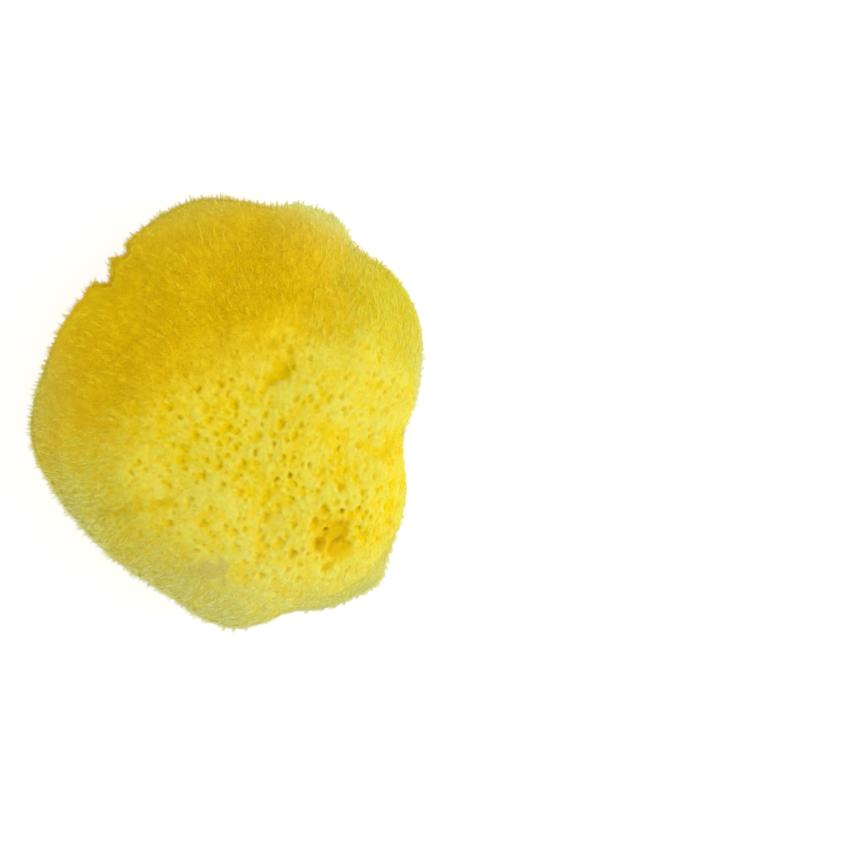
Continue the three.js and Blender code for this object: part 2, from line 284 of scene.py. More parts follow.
def pored(p):
    """1 on the pored top and 0 on the combed flanks, by the distance from the middle of the top as
    shares of its two radii; a slow noise makes the border uneven."""
    out = np.linalg.norm((p[:, :2] - PORED_MIDDLE) / PORED_RADII, axis=1) + 0.1 * noise(p, 7, 31)
    return s_curve(1.15, 0.7, out) * s_curve(*PORED_HEIGHTS, p[:, 2])


def gold_and_shade_side(p):
    """1 on the gold side and 0 on the bright one: the distance in front of a bent border across the
    top, the lesser of those in front of its two straight parts, with slow noise. The gold side's
    colour is partly the fibre's deeper gold and partly painted shade of the upper left, which is
    turned from the lamp."""
    ahead = (p[:, :2] @ GOLD_AND_SHADE_BORDERS[:, :2].T + GOLD_AND_SHADE_BORDERS[:, 2]).min(axis=1)
    return s_curve(*GOLD_AND_SHADE_EDGE, ahead + 2.5 * noise(p, 9, 91) + 1.5 * noise(p, 3, 92))


def matted(p):
    """1 where the fibre is matted flat, by the distance from the nearest such place's middle."""
    out = (plan_distances(p, MATTED) / MATTED[:, 2]).min(axis=1)
    return s_curve(1.4, 0.5, out + 0.35 * noise(p, 1.6, 93)) * (p[:, 2] > RIM_HEIGHT)


def leaning(p, normal):
    """Which way the fibre leans along the surface. Each LEANS row counts by one over its squared
    distance. Its angle is doubled to be averaged, because a lean and its opposite draw the same
    line; of the two the one away from the top is taken, a little downwards. Noise turns it."""
    away = plan_distances(p, LEANS) ** 2 + 9
    doubled = np.radians(2 * LEANS[:, 2])
    angle = np.arctan2((np.sin(doubled) / away).sum(axis=1), (np.cos(doubled) / away).sum(axis=1)) / 2
    angle += 0.25 * noise(p, 6, 101) + 0.15 * noise(p, 2.5, 102)
    lean = np.column_stack([np.cos(angle), np.sin(angle), np.full(len(p), -0.5)])
    inwards = ((p[:, :2] - COMB_FROM) * lean[:, :2]).sum(axis=1) < 0
    lean[inwards, :2] *= -1
    return unit(without(lean, normal))


def wisps(p, reach, lean, normal, gold_and_shade):
    """How deep each point is in a wisp of the nap, from 0 at its edge to 1, and the wisp's seed and
    cell: the teardrop distance from the seed, whose edge is at the given reach. The gold side has
    few wisps."""
    away, seed, cell = nearest_seed(p, WISP_SPACING, 141, -lean, WISP_TAIL, normal)
    grown = cell_value(cell, 144) > 0.1 + 0.75 * gold_and_shade
    return s_curve(reach, reach - 0.3, away) * grown, seed, cell


def smooth_normals(points, faces):
    """At each vertex the sum of its faces' own normals, each the cross of a face's two diagonals."""
    corners = points[faces]
    across = np.cross(corners[:, 2] - corners[:, 0], corners[:, 3] - corners[:, 1])
    total = np.stack([
        np.bincount(faces.ravel(), np.repeat(across[:, k], 4), len(points)) for k in range(3)
    ], axis=1)
    return unit(total)


def put_mesh(name, points, faces, attributes):
    """A mesh object of these points (in millimetres) and faces, with one number a vertex for each
    named attribute, smooth-shaded and standing at the origin."""
    mesh = bpy.data.meshes.new(name)
    sides = faces.shape[1]
    mesh.vertices.add(len(points))
    mesh.vertices.foreach_set("co", (points * MM).astype(np.float32).ravel())
    mesh.loops.add(faces.size)
    mesh.loops.foreach_set("vertex_index", faces.astype(np.int32).ravel())
    mesh.polygons.add(len(faces))
    mesh.polygons.foreach_set("loop_start", np.arange(0, faces.size, sides, dtype=np.int32))
    mesh.update(calc_edges=True)
    for label, values in attributes.items():
        layer = mesh.attributes.new(label, "FLOAT", "POINT")
        layer.data.foreach_set("value", values.astype(np.float32))
    piece = bpy.data.objects.new(name, mesh)
    bpy.context.scene.collection.objects.link(piece)
    return piece


# A cube with even facets is blown up into directions, and those are drawn towards the top: the
# tangent of half the angle from it shrinks by one share, which keeps every facet nearly square.
side = np.tan(np.linspace(-1, 1, BODY_QUADS + 1) * np.pi / 4)
a, b = (g.ravel() for g in np.meshgrid(side, side, indexing="ij"))
one = np.ones_like(a)
cube = np.concatenate([
    np.stack(face, axis=1)
    for face in [(one, a, b), (-one, -a, b), (-a, one, b), (a, -one, b), (-b, a, one), (b, a, -one)]
])
_, first, welded = np.unique(np.round(unit(cube) * 1e6), axis=0, return_index=True, return_inverse=True)
directions = unit(cube)[first]
grid = np.arange(6 * (BODY_QUADS + 1) ** 2).reshape(6, BODY_QUADS + 1, BODY_QUADS + 1)
quads = np.stack([grid[:, :-1, :-1], grid[:, 1:, :-1], grid[:, 1:, 1:], grid[:, :-1, 1:]], axis=-1)
body_faces = welded.ravel()[quads.reshape(-1, 4)]
from_top = np.arccos(np.clip(directions[:, 2], -1, 1))
drawn = 2 * np.arctan(CROWN_DETAIL * np.tan(np.minimum(from_top, np.pi - 1e-6) / 2))
level = unit(directions * [1, 1, 0])
directions = np.column_stack([level[:, :2] * np.sin(drawn)[:, None], np.cos(drawn)])

tips = skin(directions)
tip_normals = smooth_normals(tips, body_faces)
upper = directions[:, 2] > 0
crown = pored(tips)
nap = FLANK_NAP + (CROWN_NAP - FLANK_NAP) * crown
lean = leaning(tips, tip_normals)
mat = matted(tips)
from_stain = plan_distances(tips, STAIN)[:, 0] / STAIN[0, 2] + 0.3 * noise(tips, 2.5, 95)
# The gold side: partly a deeper gold of the fibre and partly painted shade of the upper left, turned
# from the lamp; the orange stain among the large pores is gold too
gold_and_shade = np.maximum(gold_and_shade_side(tips), 0.85 * s_curve(1.2, 0.4, from_stain) * (tips[:, 2] > RIM_HEIGHT))

# Pits: the placed pores, with a ragged edge, and softer ones strewn through the bright side
ragged = tips[:, :2] + 0.45 * np.column_stack([noise(tips, 1.2, 41), noise(tips, 1.2, 42)])
flat_lean = unit(lean[:, :2])
from_pores = teardrop(plan_offsets(ragged, PORES), flat_lean[:, None], PORE_TAIL) / PORES[:, 2]
placed = s_curve(1.4, 0, from_pores) * upper[:, None]
placed_depth = (placed * PORES[:, 3]).max(axis=1) * PORE_OPEN
shadowed = (placed**2 * s_curve(*DARK_PORES, PORES[:, 3] / PORES[:, 2])).max(axis=1)
pit_away, _, pit_cell = nearest_seed(tips, PIT_SPACING, 51, lean, 1.9)
pit_radius = PIT_RADII[0] + (PIT_RADII[1] - PIT_RADII[0]) * cell_value(pit_cell, 55)
strewn = s_curve(1.45, 0.1, pit_away / pit_radius + 0.3 * noise(tips, 0.9, 43))
strewn *= (cell_value(pit_cell, 56) > 0.1) * (1 - mat) * s_curve(RIM_HEIGHT, 30, tips[:, 2])
strewn_depth = strewn * (0.15 + 0.8 * pit_radius) * (1 - 0.8 * gold_and_shade) * (0.25 + 0.75 * crown)
pit_depth = np.maximum(placed_depth, strewn_depth)

# Folds: a valley along each line between two places
fold_run = FOLDS[:, 2:4] - FOLDS[:, :2]
fold_share = (plan_offsets(tips, FOLDS) * fold_run).sum(axis=2) / (fold_run**2).sum(axis=1)
beside = plan_offsets(tips, FOLDS) - np.clip(fold_share, 0, 1)[:, :, None] * fold_run
fold = np.exp(-(beside**2).sum(axis=2) / FOLDS[:, 4] ** 2) * FOLDS[:, 5] * upper[:, None]
fold = fold.max(axis=1)
shadowed = np.maximum(shadowed, 0.45 * s_curve(0.65, 1.1, fold))

# Relief of the felt: small peaks under the tufts, unevenness, and on the flanks streaks and wisps
tuft_away, tuft_seed, tuft_cell = nearest_seed(tips, TUFT_SPACING, 61, -lean, 2.4)
peak = s_curve(0.55 * TUFT_SPACING, 0, tuft_away) * (1 - mat)
felt = (0.12 * noise(tips, 0.9, 71) + 0.18 * noise(tips, 1.8, 72)) * (0.35 + 0.75 * crown)
felt += 0.35 * noise(tips, 4.7, 73) * (0.55 + 0.45 * crown)
felt *= 1 - 0.35 * gold_and_shade
streak_away, _, streak_cell = nearest_seed(tips, STREAK_SPACING, 131, -lean, 3.5, tip_normals)
streak = s_curve(1.1, 0.1, streak_away) * (0.3 + 0.7 * cell_value(streak_cell, 134))
streak *= (1 - 0.7 * crown) * (1 - 0.4 * gold_and_shade)
under_nap = tips - tip_normals * nap[:, None]
body_wisp = wisps(under_nap, 0.5, lean, tip_normals, gold_and_shade)[0] * (1 - crown)
felt += 0.12 * streak + 0.15 * body_wisp

inset = nap + pit_depth + fold - peak * (0.08 + 0.22 * crown) * (1 - 0.5 * gold_and_shade) - felt
body = tips - tip_normals * inset[:, None]

# The cut: what would reach below the sea bed is gone, and canals and pits show in the flat face
cut = body[:, 2] < 0
canal = (s_curve(1.1, 0.6, plan_distances(body, CANALS) / CANALS[:, 2]) * CANALS[:, 3]).max(axis=1)
base_away, _, base_cell = nearest_seed(body * [1, 1, 0], BASE_PIT_SPACING, 81)
base_pit = 1.1 * s_curve(1.2, 0.5, base_away / (0.4 + 0.8 * cell_value(base_cell, 85)))
base_depth = np.maximum(canal, base_pit)
body[cut, 2] = base_depth[cut]

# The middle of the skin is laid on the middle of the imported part
cad_middle = np.mean(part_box("sponge"), axis=0)[:2] / MM
shift = np.append(cad_middle - (tips.min(axis=0) + tips.max(axis=0))[:2] / 2, 0)

# x, y, spread, strength, height above and below the girth of the paled parts, partly paler fibre
# and partly painted rim light
FADES_AND_RIM_LIGHT = np.array([
    [24, 47, 11, 1.6, 18], [2, -50, 27, 2.6, 25], [-36, -28, 18, 1.1, 25], [-44, 0, 13, 0.9, 17],
    [-6, 51, 14, 0.5, 17], [44, 9, 11, 1.1, 17], [36, -42, 12, 1.6, 20], [8, -36, 13, 0.8, 60],
    [34, 0, 12, 0.4, 60],
])
# x, y, radius along x, radius along y of the parts of the greyish patch
GREYS = np.array([[-3.6, -36.2, 3.4, 2.1], [0, -35.4, 1.4, 2], [0.3, -38.6, 0.7, 1.8]])
# x, y, height, radius of the specks of dirt
SPECKS = np.array([
    [44.5, 9.3, 22, 0.7], [42.4, 2.9, 22, 0.5], [42.5, 0.6, 22, 0.6], [42, -4.6, 22, 0.4],
])


def greyed(p):
    """1 on the greyish patch low on the front and 0 off it, by the distance from its three parts."""
    out = np.linalg.norm(plan_offsets(p, GREYS) / GREYS[:, 2:], axis=2).min(axis=1)
    return s_curve(1.25, 0.7, out + 0.2 * noise(p, 1.5, 94)) * (p[:, 2] > RIM_HEIGHT)


def faded_and_rim_lit(p):
    """How pale the fibre is painted round the rim, partly paler fibre and partly painted rim light,
    where the translucent nap scatters the light of the bright ground: by the height around the
    girth and the nearness of a few places along the rim."""
    near = FADES_AND_RIM_LIGHT[:, 3] * np.exp(-((plan_distances(p, FADES_AND_RIM_LIGHT) / FADES_AND_RIM_LIGHT[:, 2]) ** 2))
    beyond = np.exp(-(((p[:, 2:] - RIM_HEIGHT) / FADES_AND_RIM_LIGHT[:, 4]) ** 2))
    return np.minimum((near * beyond).max(axis=1), 1)


def dirtied(p):
    """1 in the middle of a speck of dirt and 0 beside it. A speck is twice as high as wide."""
    away = np.linalg.norm((p[:, None] - SPECKS[:, :3]) * [1, 1, 0.5], axis=2) / SPECKS[:, 3]
    return s_curve(1.2, 0.5, away.min(axis=1))


# Painted light and shade by the relief: raised felt, peaks, streaks, wisps and the top are painted
# lighter, pits and folds darker, over some uneven tone
painted_relief_shade = np.clip(
    0.28 + 0.15 * crown + 0.35 * peak * crown + 0.8 * felt + 0.3 * body_wisp + 0.7 * streak
    + 0.25 * (noise(tips, 1.4, 96) + noise(tips, 3, 97)) * crown - 0.9 * pit_depth - 0.5 * fold,
    0, 1,
)
sponge_body = put_mesh("sponge_body", body + shift, body_faces, {
    "painted_relief": painted_relief_shade,
    "shadowed": np.where(cut, base_depth / CANAL_SHADE, shadowed),
    "gold_and_shade": gold_and_shade,
    "grey": greyed(tips),
    "mat": mat,
    "fade_and_rim_light": faded_and_rim_lit(tips) * ~cut * (1 - 0.8 * s_curve(1.3, 0.5, from_stain)),
    "dirt": dirtied(tips),
})


class Val:
    """A shader socket in a Python expression: sums, differences and products of it add Math nodes."""

    def __init__(self, tree, socket):
        self.tree, self.socket = tree, socket

    def node(self, kind, settings, values):
        """Adds a node, sets its settings, then its sockets, and returns the node."""
        made = self.tree.nodes.new(kind)
        for key, value in settings.items():
            setattr(made, key, value)
        for key, value in values.items():
            if isinstance(value, Val):
                self.tree.links.new(value.socket, made.inputs[key])
            else:
                made.inputs[key].default_value = value
        return made

    def output(self, kind, settings, values, name):
        """Adds a node and returns its named output."""
        return Val(self.tree, self.node(kind, settings, values).outputs[name])

    def math(self, operation, first, second):
        return self.output("ShaderNodeMath", {"operation": operation}, {0: first, 1: second}, "Value")

    def __add__(self, other):
        return self.math("ADD", self, other)

    def __radd__(self, other):
        return self.math("ADD", other, self)

    def __sub__(self, other):
        return self.math("SUBTRACT", self, other)

    def __rsub__(self, other):
        return self.math("SUBTRACT", other, self)

    def __mul__(self, other):
        return self.math("MULTIPLY", self, other)

    def __rmul__(self, other):
        return self.math("MULTIPLY", other, self)

    def ramp(self, low, high):
        """0 below low, 1 above high, an S-curve between."""
        return self.output("ShaderNodeMapRange", {"interpolation_type": "SMOOTHSTEP"}, {
            "Value": self, "From Min": low, "From Max": high, "To Min": 0.0, "To Max": 1.0,
        }, "Result")

    def blend(self, first, second):
        """The colour from first, where this is 0, to second, where it is 1."""
        made = self.node("ShaderNodeMix", {"data_type": "RGBA"}, {
            "Factor": self,
            6: first if isinstance(first, Val) else (*first, 1),
            7: second if isinstance(second, Val) else (*second, 1),
        })
        return Val(self.tree, made.outputs[2])

    def read(self, name):
        """The piece's own number of this name at each vertex."""
        return self.output("ShaderNodeAttribute", {"attribute_name": name}, {}, "Fac")


def new_material(name):
    """A material with its shader, and a Val to start expressions from."""
    material = bpy.data.materials.new(name)
    material.use_nodes = True
    return material, material.node_tree.nodes["Principled BSDF"], Val(material.node_tree, None)


# The felt's colours come as lit and shaded copies, for raised and sunken fibre, chosen by the painted
# relief shade
BRIGHT_LIT = (0.735, 0.65, 0.075)
DEEP_SHADED = (0.775, 0.58, 0.001)
GOLD_SIDE_LIT = (0.83, 0.60, 0.004)
GOLD_SIDE_SHADED = (0.70, 0.45, 0.002)
PALE_AND_RIM_LIGHT = (0.67, 0.66, 0.17)
MATTED_PALE = (0.72, 0.68, 0.13)
BROWN_DIRT_AND_SHADE = (0.36, 0.19, 0.002)
GREY = (0.54, 0.47, 0.11)
NO_GLOSS = 0.02

felted_spongin, felt_shader, felt_start = new_material("felted_spongin")
place = felt_start.output("ShaderNodeTexCoord", {}, {}, "Object")
mottle = place.output("ShaderNodeTexNoise", {"noise_dimensions": "3D"}, {
    "Vector": place, "Scale": 500.0, "Detail": 3.0, "Roughness": 0.6,
}, "Fac")
fibre = place.output("ShaderNodeTexNoise", {"noise_dimensions": "3D"}, {
    "Vector": place, "Scale": 2600.0, "Detail": 2.0, "Roughness": 0.7,
}, "Fac")
pin_hole_distance = place.output("ShaderNodeTexVoronoi", {"feature": "F1"}, {
    "Vector": place, "Scale": 900.0,
}, "Distance")
pin_holes = 1 - pin_hole_distance.ramp(0.12, 0.38)
# The painted relief shade with an uneven mottled tone, and painted shade in the pin holes
felt_painted_relief = (felt_start.read("painted_relief") + (mottle - 0.5) * 0.5 - pin_holes * 0.15).ramp(0.0, 1.0)
# The gold side, partly painted shade, in lit and shaded copies chosen by the painted relief shade
gold_and_shade_felt = felt_painted_relief.blend(GOLD_SIDE_SHADED, GOLD_SIDE_LIT)
felt_colour = felt_start.read("gold_and_shade").blend(felt_painted_relief.blend(DEEP_SHADED, BRIGHT_LIT), gold_and_shade_felt)
# The paled rim: partly paler fibre, partly painted rim light, stronger on the raised felt
felt_colour = (felt_start.read("fade_and_rim_light") * (felt_painted_relief * 0.55 + 0.25)).blend(felt_colour, PALE_AND_RIM_LIGHT)
felt_colour = (felt_start.read("mat") * 0.45).blend(felt_colour, MATTED_PALE)
# Painted shade: the floors of deep pores, the folds and the open holes in the cut are blended towards
# brown; the real specks of dirt below take the same brown
felt_colour = (felt_start.read("shadowed") * 0.65).blend(felt_colour, BROWN_DIRT_AND_SHADE)
felt_colour = (felt_start.read("grey") * 0.6).blend(felt_colour, GREY)
felt_colour = (felt_start.read("dirt") * 0.8).blend(felt_colour, BROWN_DIRT_AND_SHADE)
felt_normal = felt_start.output("ShaderNodeBump", {}, {
    "Strength": 0.5, "Distance": 0.0003, "Height": fibre * 0.4 + mottle * 0.8 - pin_holes * 0.6,
}, "Normal")
felt_start.tree.links.new(felt_colour.socket, felt_shader.inputs["Base Color"])
felt_start.tree.links.new(felt_normal.socket, felt_shader.inputs["Normal"])
felt_shader.inputs["Roughness"].default_value = 0.95
felt_shader.inputs["Specular IOR Level"].default_value = NO_GLOSS
felt_shader.inputs["Subsurface Weight"].default_value = 0.5
felt_shader.inputs["Subsurface Radius"].default_value = (1.0, 0.65, 0.12)
felt_shader.inputs["Subsurface Scale"].default_value = 0.0012

sponge_body.data.materials.append(felted_spongin)
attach(sponge_body, "root")
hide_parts("sponge")


# The tufts: strands of the same spongin fibre that leave the peaks of the body side by side and draw
# together in a point. They grow round the girth, where they stand out a little past the skin of the
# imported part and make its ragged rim, and a few short ones lie felted on the top.

TUFT_STRANDS = 28  # places for a strand in a tuft
RIM_STRANDS = 24  # of them that grow at the girth
CROWN_STRANDS = 4  # and on the top
STRAND_RADIUS = 0.036
FLANK_LENGTH = 2.4
CROWN_LENGTH = 0.7
RIM_ABOVE = 6  # how far above the girth the rim's tufts thin out
RIM_BELOW = 10  # and below it
STRAND_SIDES = [[0, 2, 1], [0, 1, 3], [1, 2, 3], [2, 0, 3]]
STRAND_ALONG = [0.0, 0, 0, 1]  # how far along its strand each vertex is
# Most strand colours are painted light or shade: lit and shaded copies chosen by the painted relief
# shade, painted tip highlights, painted rim light and painted shade
STRAND_BRIGHT_LIT = (0.98, 0.86, 0.018)
STRAND_DEEP_SHADED = (0.97, 0.74, 0.002)
STRAND_GOLD_SIDE_LIT = (1.0, 0.78, 0.001)
STRAND_GOLD_SIDE_SHADED = (0.91, 0.62, 0.001)
STRAND_PALE_HIGHLIGHT = (0.99, 0.93, 0.08)
STRAND_FADED_AND_RIM_LIGHT = (1.0, 1.0, 0.29)
STRAND_FADED_TIP_HIGHLIGHT = (1, 1, 0.52)
STRAND_GREY = (0.62, 0.55, 0.14)
STRAND_SHADE = (0.60, 0.51, 0.03)

combed_spongin, strand_shader, strand_start = new_material("combed_spongin")
strand_painted_relief, strand_fade_and_rim_light = strand_start.read("painted_relief"), strand_start.read("fade_and_rim_light")
# Lit and shaded copies chosen by the painted relief shade; on the gold side partly painted shade
strand_colour = strand_start.read("gold_and_shade").blend(
    strand_painted_relief.blend(STRAND_DEEP_SHADED, STRAND_BRIGHT_LIT),
    strand_painted_relief.blend(STRAND_GOLD_SIDE_SHADED, STRAND_GOLD_SIDE_LIT),
)
# The paled rim on the strands: partly paler fibre, partly painted rim light
strand_colour = (strand_fade_and_rim_light * 0.85).blend(strand_colour, STRAND_FADED_AND_RIM_LIGHT)
# Painted highlight: the tips of the strands, and the raised wisps, are painted paler
painted_tip_highlight = (strand_start.read("along") * 0.7 + 0.3) * strand_start.read("tip_highlight")
strand_colour = painted_tip_highlight.blend(strand_colour, strand_fade_and_rim_light.blend(STRAND_PALE_HIGHLIGHT, STRAND_FADED_TIP_HIGHLIGHT))
# Painted shade: the down between the wisps on the left side is darkened
strand_colour = (strand_start.read("shade") * 0.7).blend(strand_colour, STRAND_SHADE)
strand_colour = (strand_start.read("grey") * 0.8).blend(strand_colour, STRAND_GREY)
strand_colour = (strand_start.read("dirt") * 0.8).blend(strand_colour, BROWN_DIRT_AND_SHADE)
strand_start.tree.links.new(strand_colour.socket, strand_shader.inputs["Base Color"])
strand_shader.inputs["Roughness"].default_value = 0.8
strand_shader.inputs["Specular IOR Level"].default_value = NO_GLOSS


def near_girth(height, above, below):
    """1 at the girth and less above and below it: e to the minus squared share of a spread."""
    return np.exp(-(((height - RIM_HEIGHT) / np.where(height > RIM_HEIGHT, above, below)) ** 2))


def strands_of(root, tip, radius):
    """Closed three-sided strands, each a triangle round its root and a point at its tip: their
    vertices and their triangles."""
    axis = unit(tip - root)
    helper = np.where(np.abs(axis[:, 2:]) < 0.8, [[0.0, 0.0, 1.0]], [[1.0, 0.0, 0.0]])
    u = unit(np.cross(axis, helper))
    v = np.cross(axis, u)
    turn = np.arange(3)[:, None] * 2 * np.pi / 3
    ring = (np.cos(turn) * u[:, None] + np.sin(turn) * v[:, None]) * radius[:, None, None]
    points = np.concatenate([root[:, None] + ring, tip[:, None]], axis=1)
    firsts = np.arange(len(radius))[:, None, None] * len(STRAND_ALONG)
    return points.reshape(-1, 3), (np.array(STRAND_SIDES) + firsts).reshape(-1, 3)


def put_strands(name, pieces, root, tip, radius, tip_highlight, shade, painted_relief):
    """Strands as a few pieces, each a sector round the sponge with an equal number of them. The three
    numbers of each strand are a painted highlight that makes its tip paler, painted shade that makes it
    darker all along, and painted relief shade, lighter the higher the fibre is that it grows from."""
    order = np.argsort(np.arctan2(root[:, 1], root[:, 0]))
    for i, part in enumerate(np.array_split(order, pieces)):
        points, sides = strands_of(root[part], tip[part], radius[part])
        piece = put_mesh(f"{name}_{i + 1}", points + shift, sides, {
            "along": np.tile(STRAND_ALONG, len(part)),
            "tip_highlight": np.repeat(tip_highlight[part], len(STRAND_ALONG)),
            "shade": np.repeat(shade[part], len(STRAND_ALONG)),
            "painted_relief": np.repeat(painted_relief[part], len(STRAND_ALONG)),
            "gold_and_shade": gold_and_shade_side(points),
            "grey": greyed(points),
            "fade_and_rim_light": faded_and_rim_lit(points),
            "dirt": dirtied(points),
        })
        piece.data.materials.append(combed_spongin)
        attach(piece, "root")


# A tuft grows at the vertex nearest to each seed, unless that is cut off, matted or in a pit
_, tuft_of_vertex = np.unique(tuft_cell, axis=0, return_inverse=True)
nearest_first = np.lexsort((tuft_away, tuft_of_vertex.ravel()))
_, leaders = np.unique(tuft_of_vertex.ravel()[nearest_first], return_index=True)
tuft_at = nearest_first[leaders]
tuft_at = tuft_at[
    (tuft_away[tuft_at] < 0.4 * TUFT_SPACING) & ~cut[tuft_at] & (mat[tuft_at] < 0.5)
    & (pit_depth[tuft_at] < 0.6) & (body[tuft_at, 2] > 0.4)
]
tufts = len(tuft_at)

draw = np.random.default_rng(11)
tuft_normal = tip_normals[tuft_at]
tuft_root = body[tuft_at] + without(tuft_seed[tuft_at] - tips[tuft_at], tuft_normal)
tuft_crown, tuft_gold_and_shade = crown[tuft_at], gold_and_shade[tuft_at]
tuft_rim = near_girth(tips[tuft_at, 2], RIM_ABOVE, RIM_BELOW)
tuft_lie = unit(lean[tuft_at] + (0.15 + 0.5 * tuft_crown[:, None]) * draw.normal(size=tuft_root.shape))
tuft_lie = unit(without(tuft_lie, tuft_normal))
tuft_length = FLANK_LENGTH + (CROWN_LENGTH - FLANK_LENGTH) * tuft_crown
tuft_run = tuft_length * draw.uniform(0.6, 1.2, tufts) * (1 - 0.65 * tuft_rim)
tuft_height = inset[tuft_at] * draw.uniform(0.55, 0.95, tufts) * (0.55 + 0.45 * tuft_rim) + 0.1
tuft_height *= 1 - 0.5 * tuft_gold_and_shade * (1 - tuft_rim)
tuft_height += tuft_rim * draw.uniform(0.1, 1.4, tufts)
tuft_tip = tuft_root + tuft_normal * tuft_height[:, None] + tuft_lie * tuft_run[:, None]
# Painted highlight: a share of the tufts get paler tips, few of them on the gold side
lightness = draw.uniform(size=tufts)
tuft_highlight = (0.25 + 0.75 * lightness) * (1 - tuft_gold_and_shade) + 0.5 * (lightness > 0.75) * tuft_gold_and_shade

# The strands of a tuft spread over its root by the golden angle, wider along than across
tuft_of = np.repeat(np.arange(tufts), TUFT_STRANDS)
number = np.tile(np.arange(TUFT_STRANDS), tufts)
grown = number < np.round(CROWN_STRANDS * tuft_crown + RIM_STRANDS * tuft_rim)[tuft_of]
tuft_of, number = tuft_of[grown], number[grown]
normal, lie = tuft_normal[tuft_of], tuft_lie[tuft_of]
spiral = number * GOLDEN_ANGLE + draw.uniform(0, 2 * np.pi, tufts)[tuft_of]
spread = np.sqrt((number + 0.5) / TUFT_STRANDS)
breadth = 0.15 + 0.2 * np.maximum(tuft_crown, tuft_rim)[tuft_of]
sideways = lie * (0.9 * spread * np.cos(spiral))[:, None]
sideways += np.cross(normal, lie) * (breadth * spread * np.sin(spiral))[:, None]
strand_root = tuft_root[tuft_of] + sideways - normal * 0.25
scatter = (0.04 + 0.1 * tuft_rim[tuft_of])[:, None] * draw.normal(size=sideways.shape)
strand_tip = tuft_tip[tuft_of] + sideways * 0.3 + scatter
strand_tip -= lie * (tuft_run[tuft_of] * draw.uniform(0, 0.4, len(tuft_of)))[:, None]
clear = np.minimum(strand_root[:, 2], strand_tip[:, 2]) > 0.15
strand_root, strand_tip, tuft_of = strand_root[clear], strand_tip[clear], tuft_of[clear]
strand_radius = STRAND_RADIUS * draw.uniform(0.8, 1.2, len(tuft_of)) * (1.35 - 0.5 * tuft_rim[tuft_of])

# The tufts carry the body's painted relief shade, painted a little lighter
put_strands(
    "tufts", 3, strand_root, strand_tip, strand_radius,
    tip_highlight=tuft_highlight[tuft_of],
    shade=np.zeros(len(tuft_of)),
    painted_relief=np.clip(painted_relief_shade[tuft_at][tuft_of] + 0.15, 0, 1),
)


# The down: single fine hairs of the fibre all over the body, which make the surface look soft. They
# lie the way that the fibre leans and stand up more at the girth. On the flanks many of them are
# drawn together sideways into raised wisps, painted paler as a highlight, with painted shade on the
# down between them on the left side.

HAIRS = 195000
HAIR_RADIUS = 0.042
HAIR_RIM = 5.5  # how far above and below the girth the hairs stand up more
HAIR_HEIGHT = (0.1, 0.25)  # shares of the depth that the body is set in by
HAIR_RUN = (0.7, 1.6)
# The painted shade between the wisps falls on the left side, which is turned from the lamp
LEFT_EDGE = (15, -15)  # x between which the left side begins

triangles = np.concatenate([body_faces[:, [0, 1, 2]], body_faces[:, [0, 2, 3]]])
corner = body[triangles]
area = np.linalg.norm(np.cross(corner[:, 1] - corner[:, 0], corner[:, 2] - corner[:, 0]), axis=1)
usable = ~cut[triangles].any(axis=1) & (pit_depth[triangles].max(axis=1) < 0.7)
bare = (0.7 * crown + 0.3 * mat)[triangles].mean(axis=1)
hair_count = np.cumsum(area * usable * (1 - bare))
hair_steps = (np.arange(HAIRS) + draw.uniform(size=HAIRS)) / HAIRS * hair_count[-1]
hair_on = triangles[np.searchsorted(hair_count, hair_steps)]
s, t = np.sqrt(draw.uniform(size=HAIRS)), draw.uniform(size=HAIRS)
shares = np.column_stack([1 - s, s * (1 - t), s * t])


def at_hairs(values):
    """The body's values at the roots of the hairs: each corner of a root's triangle has a share."""
    return np.einsum("hc,hc...->h...", shares, values[hair_on])


hair_root = at_hairs(body)
hair_normal = unit(at_hairs(tip_normals))
hair_lean = unit(at_hairs(lean))
hair_crown, hair_gold_and_shade = at_hairs(crown), at_hairs(gold_and_shade)
hair_rim = near_girth(hair_root[:, 2], HAIR_RIM, HAIR_RIM)
hair_wisp, wisp_seed, wisp_cell = wisps(hair_root, 0.6, hair_lean, hair_normal, hair_gold_and_shade)
hair_wisp *= 1 - hair_crown
hair_lie = unit(hair_lean + (0.16 + 0.5 * hair_crown[:, None]) * draw.normal(size=hair_root.shape))
hair_lie = unit(without(hair_lie, hair_normal))
hair_height = np.maximum(at_hairs(inset), 0.2) * draw.uniform(*HAIR_HEIGHT, HAIRS)
hair_height *= 1 + 3.5 * hair_rim
hair_run = draw.uniform(*HAIR_RUN, HAIRS) * (1 - 0.6 * hair_crown) * (1 - 0.4 * hair_rim)
hair_run *= 1 + 0.3 * hair_wisp
hair_tip = hair_root + hair_normal * hair_height[:, None] + hair_lie * hair_run[:, None]

# Painted highlight and shade of the wisps: they are painted paler and, as they stand higher, lighter,
# and between them the paled part of the left side is painted darker
hair_highlight = 0.1 * at_hairs(streak) + 0.9 * hair_wisp * (1 - 0.6 * hair_gold_and_shade)
hair_painted_relief = at_hairs(painted_relief_shade) + 0.9 * (hair_wisp - 0.4) * (1 - hair_crown)
# Painted shade on the down between the wisps on the paled left side
hair_shade = (1 - hair_wisp) * (1 - hair_crown) * s_curve(*LEFT_EDGE, hair_root[:, 0])
hair_shade *= s_curve(0, 0.5, faded_and_rim_lit(hair_root))

